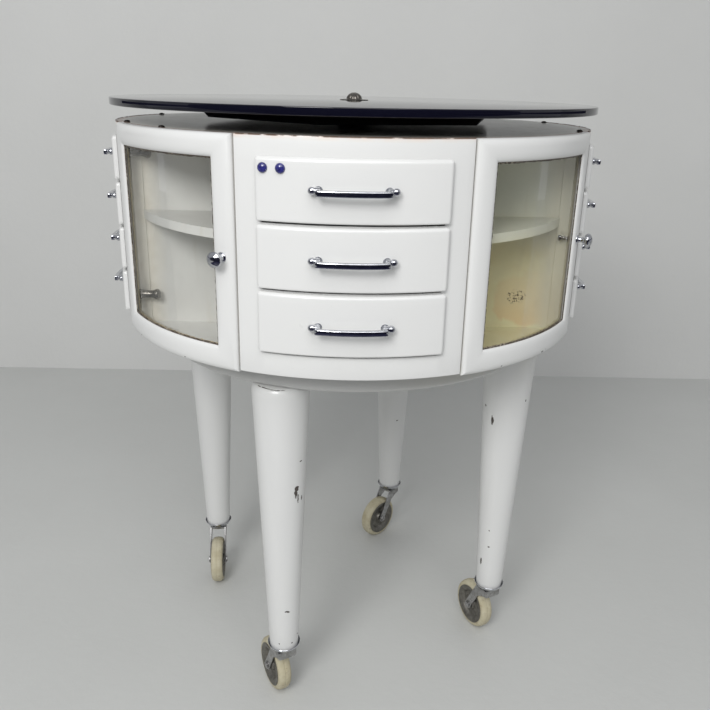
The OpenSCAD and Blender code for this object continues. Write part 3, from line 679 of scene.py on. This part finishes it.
def drawer_face(name, z0, z1, turn):
    """Curved front with pillowed edges and small round corners."""
    half = rad(FACE_AZ) * DRUM_R
    round_top, round_side, round_low, corner = 5.2 * MM, 4.6 * MM, 2.2 * MM, 4.5 * MM
    edge = [e * MM for e in (0, 0.12, 0.4, 0.9, 1.5, 2.2, 3.2, 4.2, 5.2)]

    def grid(lo, hi, steps):
        """Positions from lo to hi, close together near both ends."""
        flat = hi - lo - 2 * edge[-1]
        middle = [lo + edge[-1] + flat * k / steps for k in range(1, steps)]
        return [lo + e for e in edge] + middle + [hi - e for e in reversed(edge)]

    xs, zs = grid(-half, half, 40), grid(z0, z1, 8)
    nx, nz = len(xs), len(zs)
    front, back = [], []
    for z in zs:
        for x in xs:
            dx, dz = half - abs(x), min(z - z0, z1 - z)
            px, pz = x, z
            if dx < corner and dz < corner:
                p = Vector((corner - dx, corner - dz))
                big = max(p)
                if big > 1e-9:
                    p = p.normalized() * big
                px = math.copysign(half - corner + p.x, x)
                pz = z1 - corner + p.y if z1 - z < z - z0 else z0 + corner - p.y
            round_z = round_top if z1 - z < z - z0 else round_low
            drop = max(q - math.sqrt(max(q * q - (q - min(d, q)) ** 2, 0))
                       for d, q in ((dx, round_side), (dz, round_z)))
            swell = 0.25 * MM * math.sin(math.pi * (z - z0) / (z1 - z0)) * math.cos(0.5 * math.pi * x / half)
            az = math.degrees(px / DRUM_R)
            front.append(at(az, FACE_R1 - drop * 0.98 + swell - 0.25 * MM, pz))
            back.append(at(az, FACE_R0, pz))
    faces = [(j * nx + i, j * nx + i + 1, (j + 1) * nx + i + 1, (j + 1) * nx + i) for j in range(nz - 1)
             for i in range(nx - 1)]
    n = nx * nz
    faces += [tuple(n + k for k in reversed(q)) for q in faces]
    rim = list(range(nx)) + [j * nx + nx - 1 for j in range(1, nz)]
    rim += [(nz - 1) * nx + i for i in range(nx - 2, -1, -1)] + [j * nx for j in range(nz - 2, 0, -1)]
    faces += [(a, b, b + n, a + n) for a, b in zip(rim, rim[1:] + rim[:1])]
    return add(f"drawer_face_{name}", front + back, faces, white, 42, turned(turn))


def tray(name, z0, z1, turn):
    """Folded sheet tray behind the face, with rolled upper edges."""
    half, wall, back_y = 106 * MM, 1.6 * MM, -150 * MM
    bottom, top = z0 + 3 * MM, z1 - 11 * MM
    steps, front_r = 12, FACE_R0 + 0.6 * MM
    xs = [half - 2 * half * k / steps for k in range(steps + 1)]
    outline = [(half, back_y)] + [(x, -math.sqrt(front_r ** 2 - x ** 2)) for x in xs] + [(-half, back_y)]

    def inset(pts, d):
        """The outline moved inwards by d; its two back corners move forwards."""
        k = (half - d) / half
        return [(x * k, y + d if y < back_y - 1e-6 else y - d) for x, y in pts]

    levels = [(outline, bottom + 1 * MM), (outline, top - 1.2 * MM), (inset(outline, 0.4 * MM), top),
              (inset(outline, wall + 0.9 * MM), top), (inset(outline, wall + 1.2 * MM), top - 1.4 * MM),
              (inset(outline, wall), top - 2.2 * MM), (inset(outline, wall), bottom + wall + 1.5 * MM),
              (inset(outline, wall + 1.5 * MM), bottom + wall)]
    m = len(outline)
    verts = [(x, y, z) for pts, z in levels for x, y in pts]
    verts += [(x, y, bottom) for x, y in inset(outline, 1 * MM)]
    faces = ring_faces(len(levels), m) + [tuple(range((len(levels) - 1) * m, len(levels) * m))]
    under = len(levels) * m
    faces += [(under + j, under + (j + 1) % m, (j + 1) % m, j) for j in range(m)]
    faces.append(tuple(range(under, under + m)))
    return add(f"tray_{name}", verts, faces, interior, 30, turned(turn))


def bow_handle(name, node, turn):
    """Chrome bow handle: flattened bowed bar, two posts with feet, and a domed button at each end."""
    lo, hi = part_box(node)
    z = (lo.z + hi.z) / 2
    post_x, reach, bow = 40 * MM, DRUM_R + 24.5 * MM, 4 * MM
    bow_r = (post_x ** 2 + bow ** 2) / (2 * bow)
    end = math.degrees(math.asin((post_x + 2.5 * MM) / bow_r))
    steps = 28
    angles = [rad(-end + 2 * end * k / steps) for k in range(steps + 1)]
    path = [Vector((bow_r * math.sin(a), bow_r - reach - bow_r * math.cos(a), 0)) for a in angles]
    tip = 0.7 * MM
    first = path[0] - (path[1] - path[0]).normalized() * tip
    last = path[-1] + (path[-1] - path[-2]).normalized() * tip
    scales = [0.72, 0.97] + [1.0] * (steps - 1) + [0.97, 0.72]
    place = turned(turn) @ Matrix.Translation((0, 0, z))
    hung = place @ Matrix.Translation((0, 0, -0.9 * MM))
    section = rounded(6.2 * MM, 7.4 * MM, 1.7 * MM)
    parts = [sweep("bar", [first] + path + [last], section, scales, chrome, hung, 50)]
    foot_y = -math.sqrt(FACE_R1 ** 2 - post_x ** 2)
    length = reach - bow + foot_y
    for s in (-1, 1):
        post = mm((0, -1.5), (5.2, -1.5), (5.3, 0.6), (4.6, 1.4), (3.5, 2.4))
        post += [(3.3 * MM, length * 0.6), (3.6 * MM, length * 0.92), (3.2 * MM, length),
                 (0, length + 0.3 * MM)]
        stand = Matrix.Translation((s * post_x, foot_y, 0)) @ Matrix.Rotation(rad(90), 4, "X")
        parts.append(lathe("post", post, chrome, place @ stand, 32))
        button = mm((0, -2), (3.9, -2), (4.1, 3.2), (3.7, 3.9), (3.7, 4.6), (4.6, 5.2))
        button += arc_profile(0, 7.2 * MM, 4.7 * MM, 0, 84, 7) + mm((0, 12))
        stand = Matrix.Translation((s * post_x, foot_y - 5.5 * MM, 0.7 * MM))
        stand @= Matrix.Rotation(rad(90 * s), 4, "Y")
        parts.append(lathe("button", button, chrome, place @ stand, 32))
    return join(f"handle_{name}", parts)


for side, count in SIDE_BANKS.items():
    for i in range(1, count + 1):
        name, body, turn = f"{side}_{i}", f"{side}_drawer_{i}_body", QUARTERS[side]
        lo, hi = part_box(f"{side}_drawer_{i}")
        stands(drawer_face(name, lo.z, hi.z, turn), body, "white_enamel", f"{side}_drawer_{i}")
        stands(tray(name, lo.z, hi.z, turn), body, "white_enamel", f"{side}_drawer_{i}")
        stands(bow_handle(name, f"{side}_handle_{i}", turn), body, "chrome", f"{side}_handle_{i}")

STUD_AZ = (-16.9, -13.5)
stud_lo, stud_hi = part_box("blue_studs")
for i, az in enumerate(STUD_AZ):
    dome = mm((0, 0), (5.9, 0), (6.0, 0.8))
    dome += [(r, 0.9 * MM + q * 0.62) for r, q in arc_profile(0, 0, 5.8 * MM, 8, 82, 8)] + mm((0, 4.5))
    place = facing(az, FACE_R1 - 0.2 * MM, (stud_lo.z + stud_hi.z) / 2)
    stud = lathe(f"blue_stud_{i + 1}", dome, blue, place, 40)
    stands(stud, "front_drawer_1_body", "blue_enamel", "blue_studs")

# ---------- Revolving top ----------

top_lo, top_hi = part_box("glass_top")
GLASS_R, GLASS_Z0, GLASS_Z1 = top_hi.x, top_lo.z, top_hi.z
HOLE_R = 6.2 * MM
LOW_ROUND, TOP_ROUND = 1.6 * MM, 1.2 * MM
disc = [(HOLE_R, GLASS_Z0)] + arc_profile(GLASS_R - LOW_ROUND, GLASS_Z0 + LOW_ROUND, LOW_ROUND, -90, -10, 5)
disc += arc_profile(GLASS_R - TOP_ROUND, GLASS_Z1 - TOP_ROUND, TOP_ROUND, 5, 90, 5) + [(HOLE_R, GLASS_Z1)]
stands(lathe("glass_disc", disc, black_glass, seg=288, sharp=30), "top", "black_glass", "glass_top")

PIN_Z0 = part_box("top_board")[0].z
BOARD_R, BOARD_AZ, BOARD_BEVEL = 229 * MM, 48.0, 8 * MM
BOARD_Z0 = GLASS_Z0 - 16 * MM


def board():
    rows = [(BOARD_R - BOARD_BEVEL, BOARD_Z0), (BOARD_R - 0.8 * MM, BOARD_Z0 + BOARD_BEVEL),
            (BOARD_R, BOARD_Z0 + BOARD_BEVEL + 1.2 * MM), (BOARD_R, GLASS_Z0 - 0.1 * MM)]
    verts = [at(BOARD_AZ + 60 * k, r, z) for r, z in rows for k in range(6)]
    faces = ring_faces(4, 6) + [tuple(range(6)), tuple(range(18, 24))]
    return add("board", verts, faces, board_painted_shade, 20, mods=[("BEVEL", {"width": 1.0 * MM, "segments": 2})])


stands(board(), "top", "black_board", "top_board")
PLATE_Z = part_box("drum_top")[1].z
hub = mm((0, 0.5), (24, 0.5), (24, 2), (22.5, 3), up=PLATE_Z)
hub += mm((22.5, -0.5), (24.5, 1), (0, 1), up=BOARD_Z0)
# The hub carries the board's near-black painted shade.
stands(lathe("board_hub", hub, board_painted_shade, seg=64), "top", "black_board")
pin = mm((0, 0), (7, 0), (8, 1), up=PIN_Z0) + mm((8, 1), (0, 1), up=PLATE_Z)
stands(lathe("top_pin", pin, dull_steel, seg=48), "top", "black_board")

DOME_R, DOME_FOOT, FLUTES, FLUTE_DEPTH = 12 * MM, 1.6 * MM, 14, 0.05
cap = mm((0, 0), (21.1, 0), (21.5, 0.5), (21, 1.0), (13.5, 1.5), (12.6, 1.2), (12.2, 1.5))
cap += [(r, max(q - 1 * MM, DOME_FOOT)) for r, q in arc_profile(0, 0, DOME_R, 15, 84, 14)] + mm((0, 11))


def fluted(angle, z):
    """Share of the radius that the flutes add, growing from nothing at the dome's foot."""
    return FLUTE_DEPTH * math.cos(FLUTES * angle) * min(1, max(0, (z - DOME_FOOT) / (3 * MM)))


on_glass = Matrix.Translation((0, 0, GLASS_Z1))
stands(lathe("rosette", cap, arm_steel, on_glass, 144, 40, fluted), "top", "chrome", "cap_rosette")

# ---------- Legs and base ----------

BASE_LO, BASE_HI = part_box("base_pan")
PAN_R = BASE_HI.x
LEG_CIRCLE, LEG_AZ = 269 * MM, -20.5
LEG_NAMES = ("front", "right", "back", "left")
TRAIL_AZ = dict(zip(LEG_NAMES, (-152, -154, -44.5, 4.5)))
LEG_AT = {n: at(LEG_AZ + 90 * i, LEG_CIRCLE) for i, n in enumerate(LEG_NAMES)}
LEG_R0, LEG_R1 = 21.75 * MM, 40 * MM
FOOT_Z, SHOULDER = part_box("legs")[0].z, 7 * MM
SHOULDER_Z = BASE_LO.z - 2 * SHOULDER

PAN_ROUND, PAN_HOLE = 7 * MM, 30 * MM
pan = [(PAN_R - 3 * MM, BASE_HI.z), (PAN_R, BASE_HI.z), (PAN_R, BASE_LO.z + PAN_ROUND)]
pan += arc_profile(PAN_R - PAN_ROUND, BASE_LO.z + PAN_ROUND, PAN_ROUND, -10, -90, 6)
pan += [(PAN_HOLE, BASE_LO.z), (PAN_HOLE, BASE_LO.z + 3 * MM), (PAN_R - 9 * MM, BASE_LO.z + 3 * MM),
        (PAN_R - 4 * MM, BASE_LO.z + 6 * MM), (PAN_R - 3 * MM, BASE_LO.z + 10 * MM)]
# The pan skin wears the darker pan enamel, which is painted shade.
stands(lathe("base_pan_skin", pan, pan_painted_shade, seg=192, sharp=30), "base", "white_enamel", "base_pan")


def leg_radius(z):
    """Radius of a leg at a height: a straight taper up to the shoulder, then a rounded top."""
    if z > SHOULDER_Z:
        return LEG_R1 - SHOULDER + math.sqrt(SHOULDER ** 2 - (min(z - SHOULDER_Z, 2 * SHOULDER) / 2) ** 2)
    return LEG_R0 + (LEG_R1 - LEG_R0) * (z - FOOT_Z) / (SHOULDER_Z - FOOT_Z)


LEG_CHIPS = {
    "front": ((393, 42, 3.6, 4.5), (386, 40, 2.4, 7), (376, 47, 1.3, 7), (374, 61, 1.4, 3.5),
              (435, 53, 2.4, 0.9), (184, 17, 3.0, 1.3), (182.5, 22, 2.2, 1.0), (132, 68, 1.0, 1.8),
              (123, -14, 0.9, 1.1), (122, 38, 1.4, 1.0), (546.3, -48, 4.4, 0.3), (546.5, -36, 4.2, 0.4),
              (546.3, -25, 4.6, 0.3), (545.9, -13, 4.4, 0.4), (545.6, -2, 4.8, 0.35), (545.7, 10, 4.2, 0.22)),
    "right": ((452, -69, 1.6, 2.2), (432, -43, 2.5, 7.5), (162, -55, 1.7, 6.5), (228, -28, 0.9, 1.1),
              (196, -25, 1.5, 1.1), (467, 42, 1.2, 2)),
    "back": ((271, 18, 2.2, 0.9), (430, -60, 1.6, 3)),
    "left": ((180, 150, 1.6, 4), (330, -150, 2, 3)),
}


def leg_chips(name):
    """Chips from their height above the floor, azimuth on the leg, half width and half height in mm."""
    return [(LEG_AT[name] + at(az, leg_radius(z * MM), z * MM), (w * MM, w * MM, h * MM))
            for z, az, w, h in LEG_CHIPS[name]]


def leg_profile():
    """Foot with a small round, straight taper, rounded shoulder."""
    round_r, taper_steps = 4 * MM, 12
    prof = [(0, FOOT_Z)] + arc_profile(LEG_R0 - 3.8 * MM, FOOT_Z + round_r, round_r, -90, -6, 6)
    heights = [FOOT_Z + (SHOULDER_Z - FOOT_Z) * k / taper_steps for k in range(1, taper_steps)]
    prof += [(leg_radius(z), z) for z in heights]
    prof += [(LEG_R1 - SHOULDER + SHOULDER * math.cos(rad(a)), SHOULDER_Z + 2 * SHOULDER * math.sin(rad(a)))
             for a in range(0, 90, 12)]
    return prof + [(0, BASE_LO.z + 0.5 * MM)]


COLLAR = mm((6, -2.4), (15.75, -2.4), (19.25, -1.6), (22.05, 0.4), (23.75, 3), (25.05, 6.2), (24.65, 6.6),
            (24.15, 6.3), (22.85, 3.2), (20.95, 0.9), (18.35, -0.6), (6, -0.6), up=FOOT_Z)
for name in LEG_NAMES:
    here = Matrix.Translation(LEG_AT[name])
    finish = enamel(f"leg_enamel_{name}", (0.71, 0.71, 0.695), chips=leg_chips(name))
    stands(lathe(f"leg_{name}", leg_profile(), finish, here, 72, 30), "base", "white_enamel", "legs")
    stands(lathe(f"collar_{name}", COLLAR, chrome, here, 64), "base", "chrome", "leg_collars")

# ---------- Casters ----------

WHEEL_R = 42.5 * MM
TRAIL, FORK_HALF, FORK_T = 35 * MM, 12.5 * MM, 2.5 * MM
CROWN_Z = FOOT_Z - 5 * MM


def plate(name, outline, thickness, mat, place, bevel):
    """Flat plate with bevelled edges: outline in its own X and Y, thickness along Z."""
    n = len(outline)
    verts = [(x, y, 0) for x, y in outline] + [(x, y, thickness) for x, y in outline]
    faces = [tuple(reversed(range(n))), tuple(range(n, 2 * n))]
    faces += [(j, (j + 1) % n, n + (j + 1) % n, n + j) for j in range(n)]
    rounding = {"width": bevel, "segments": 2, "limit_method": "ANGLE", "angle_limit": rad(50)}
    return add(name, verts, faces, mat, 35, place, [("BEVEL", rounding)])


def ngon(r, count, turn=0.0):
    angles = [2 * math.pi * k / count + turn for k in range(count)]
    return [(r * math.cos(a), r * math.sin(a)) for a in angles]


HALF = FORK_HALF + FORK_T
RACEWAY = mm((0, -5), (13.5, -5), (14.5, -3.5), (14.5, -1), (13.2, -0.4), (13.2, 0.2), (14, 0.6), (14, 1.8),
             (11, 2.6), (5.4, 2.8), up=CROWN_Z) + mm((5, 10), (0, 10), up=FOOT_Z)
CROWN = [(-HALF, -13.5 * MM), (HALF, -13.5 * MM)]
CROWN += [(HALF * math.cos(rad(a)), 3 * MM + 9 * MM * math.sin(rad(a))) for a in range(0, 181, 20)]
EYE_R = 8 * MM
ARM = mm((12.5, -0.4), (-13.5, -0.4), up=CROWN_Z)
ARM += [(-TRAIL - EYE_R * math.cos(rad(15 - k * 20)), WHEEL_R + EYE_R * math.sin(rad(15 - k * 20)))
        for k in range(11)]
ARM += mm((-8, -22), (4, -14.5), (12, -12), up=CROWN_Z)
WEB = mm((-15, -0.4), (-15, -12), (-12, -14.5), (12, -14.5), (15, -12), (15, -0.4), up=CROWN_Z)
BOLT = mm((0, -18.2), (3, -18.2), (4, -17.4), (4, 17.4), (3, 18.2), (0, 18.2))
HUB_HALF = mm((4.2, 11.2), (9.2, 11.2), (10.2, 10.4), (11.6, 6.4), (14, 5.2), (20, 4.8), (22.5, 5.4),
              (24, 7.4), (26, 9.8), (30, 11.2), (33.2, 11.6), (34.2, 11.2), (34.0, 10.4), (29.8, 10.1))
TYRE_HALF = mm((29.8, 9.9), (31.5, 10.1), (34, 10.6), (37.4, 10.7), (39.6, 9.5), (41.2, 7.6), (42.1, 5.0),
               (42.45, 2.2), (42.5, 0.5), (42.1, 0.0))


def mirrored(half):
    return [(r, -z) for r, z in reversed(half)]


def caster(name):
    """Fork with raceway, bolt, nuts and washers on the swivel body; hub and tyre on the wheel body."""
    here = Matrix.Translation(LEG_AT[name]) @ turned(TRAIL_AZ[name])
    under = here @ Matrix.Translation((0, 0, CROWN_Z - 4.8 * MM))
    parts = [lathe("raceway", RACEWAY, dull_steel, here, 48)]
    parts.append(plate("crown", CROWN, 4.6 * MM, dull_steel, under, 0.9 * MM))
    for s in (-HALF, FORK_HALF):
        lie = Matrix(((0, 0, 1, s), (1, 0, 0, 0), (0, 1, 0, 0), (0, 0, 0, 1)))
        parts.append(plate("fork_arm", ARM, FORK_T, dull_steel, here @ lie, 0.6 * MM))
    front = Matrix.Translation((0, 13 * MM, 0)) @ Matrix.Rotation(rad(90), 4, "X")
    parts.append(plate("web", WEB, FORK_T, dull_steel, here @ front, 0.7 * MM))
    axle = here @ Matrix.Translation((0, -TRAIL, WHEEL_R)) @ Matrix.Rotation(rad(90), 4, "Y")
    parts.append(lathe("bolt", BOLT, dull_steel, axle, 32))
    for s in (-HALF - 2.8 * MM, HALF + 0.6 * MM):
        at_end = axle @ Matrix.Translation((0, 0, s))
        parts.append(plate("nut", ngon(6.0 * MM, 6, 0.3), 2.2 * MM, dull_steel, at_end, 0.5 * MM))
    for s in (-HALF - 0.7 * MM, HALF):
        at_end = axle @ Matrix.Translation((0, 0, s))
        parts.append(plate("washer", ngon(7.0 * MM, 24), 0.7 * MM, dull_steel, at_end, 0.25 * MM))
    fork = join(f"caster_fork_{name}", parts)
    stands(fork, f"{name}_caster", "caster_steel", f"{name}_caster_fork")
    hub_ob = lathe(f"wheel_hub_{name}", HUB_HALF + mirrored(HUB_HALF), hub_steel, axle, 72)
    stands(hub_ob, f"{name}_wheel", "wheel_steel", f"{name}_wheel_hub")
    tyre_ob = lathe(f"tyre_{name}", TYRE_HALF + mirrored(TYRE_HALF[:-1]), rubber, axle, 96, 50)
    stands(tyre_ob, f"{name}_wheel", "cream_rubber", f"{name}_tyre")


for name in LEG_NAMES:
    caster(name)

# ---------- CAD nodes that stay ----------

for node, mat in {"spindle": dull_steel, "drum_floor": interior, "drum_top": worn_top,
                  "compartment_walls": wall_enamel, "shelves": interior}.items():
    repaint(node, mat)

SCREW_AZ = (-109, -66.5, -45, 66.5, 109, 157, 203)
SCREW_R = DRUM_R - 13.1 * MM
for i, az in enumerate(SCREW_AZ):
    head = mm((0, -1), (4.2, -1), (4.2, 0.4), (3.7, 1.4), (2.4, 2.2), (0.9, 2.5), (0, 2.5))
    screw = lathe(f"top_screw_{i + 1}", head, screw_black, Matrix.Translation(at(az, SCREW_R, PLATE_Z)), 32)
    stands(screw, "drum", "black_screw", "top_screws")

# ---------- Stage, lights, world ----------


def stage_plane(name, corners, mat):
    """One rectangle that belongs to the room and not to the cabinet."""
    me = bpy.data.meshes.new(name)
    me.from_pydata(corners, [], [(0, 1, 2, 3)])
    me.materials.append(mat)
    ob = bpy.data.objects.new(name, me)
    bpy.context.scene.collection.objects.link(ob)
    return ob


def flat_card(x, y0, y1, z):
    """Corners of a level rectangle from -x to x."""
    return [(-x, y0, z), (x, y0, z), (x, y1, z), (-x, y1, z)]


def upright(x, y, z):
    """Corners of an upright rectangle across the room, from -x to x and from the floor up to z."""
    return [(-x, y, 0), (x, y, 0), (x, y, z), (-x, y, z)]


def plain_finish(name, a, b, rough, one_sided=False):
    """Plain matt paint from a to b; a one-sided one is clear from behind."""
    f = Finish(name)
    colour = f.mix(f.band(f.noise(1.7, 4), 0.3, 0.7), a, b)
    f.set(Base_Color=colour, Roughness=f.band(f.noise(5, 3), 0.3, 0.7, *rough),
          Normal=f.bump(f.noise(60, 4), 0.0006))
    if one_sided:
        clear = f.node("ShaderNodeBsdfTransparent", {})
        behind = f.node("ShaderNodeNewGeometry", {}, out="Backfacing")
        both = f.node("ShaderNodeMixShader", {0: behind, 1: f.bsdf.outputs[0], 2: clear})
        f.nt.links.new(both, f.nt.nodes["Material Output"].inputs["Surface"])
    return f.mat


STAGE, WALL_Y, WALL_H = 6, 1.197, 4
floor_mat = plain_finish("floor", (0.55, 0.555, 0.535), (0.585, 0.59, 0.57), (0.45, 0.6))
wall_mat = plain_finish("wall", (0.645, 0.645, 0.625), (0.68, 0.68, 0.66), (0.8, 0.9), True)
stage_plane("floor", flat_card(STAGE, -STAGE, STAGE, 0), floor_mat)
stage_plane("wall", upright(STAGE, WALL_Y, WALL_H), wall_mat)


def dark_card(name, corners):
    """A navy card that only mirrors see, as the dark room in front of the cabinet."""
    m = bpy.data.materials.new(name)
    m.use_nodes = True
    m.node_tree.nodes["Principled BSDF"].inputs["Base Color"].default_value = (0.012, 0.012, 0.045, 1)
    ob = stage_plane(name, corners, m)
    ob.visible_camera = ob.visible_diffuse = ob.visible_shadow = ob.visible_transmission = False
    return ob


CARD_Y, CARD_X, CARD_H = -2.4, 9, 1.7
dark_card("dark_front", upright(CARD_X, CARD_Y, CARD_H))
STRIP_X, STRIP_Y, STRIP_Z0, STRIP_Z1 = 2.0, 1.15, 0.77, 0.93
for side, x in (("left", -STRIP_X), ("right", STRIP_X)):
    dark_card(f"dark_{side}", [(x, CARD_Y, STRIP_Z0), (x, STRIP_Y, STRIP_Z0), (x, STRIP_Y, STRIP_Z1),
                               (x, CARD_Y, STRIP_Z1)])
MAT_X, MAT_Y, MAT_UP = 1.6, -0.62, 2 * MM
dark_card("dark_floor", flat_card(MAT_X, CARD_Y, MAT_Y, MAT_UP))


def area_light(name, place, target, size, power):
    """Round soft light, turned towards a point."""
    data = bpy.data.lights.new(name, "AREA")
    data.shape, data.size, data.energy = "DISK", size, power
    ob = bpy.data.objects.new(name, data)
    bpy.context.scene.collection.objects.link(ob)
    ob.location = place
    ob.rotation_euler = (Vector(target) - Vector(place)).to_track_quat("-Z", "Y").to_euler()


area_light("key", (-0.95, -2.6, 2.2), (0, 0, 0.6), 1.1, 40)
area_light("front_top", (0.0, -2.1, 2.6), (0, 0.2, 0.5), 2.4, 33)

world = bpy.data.worlds.new("studio")
bpy.context.scene.world = world
world.use_nodes = True
sky = world.node_tree.nodes["Background"].inputs
sky["Color"].default_value = (0.93, 0.95, 1.0, 1)
sky["Strength"].default_value = 0.44
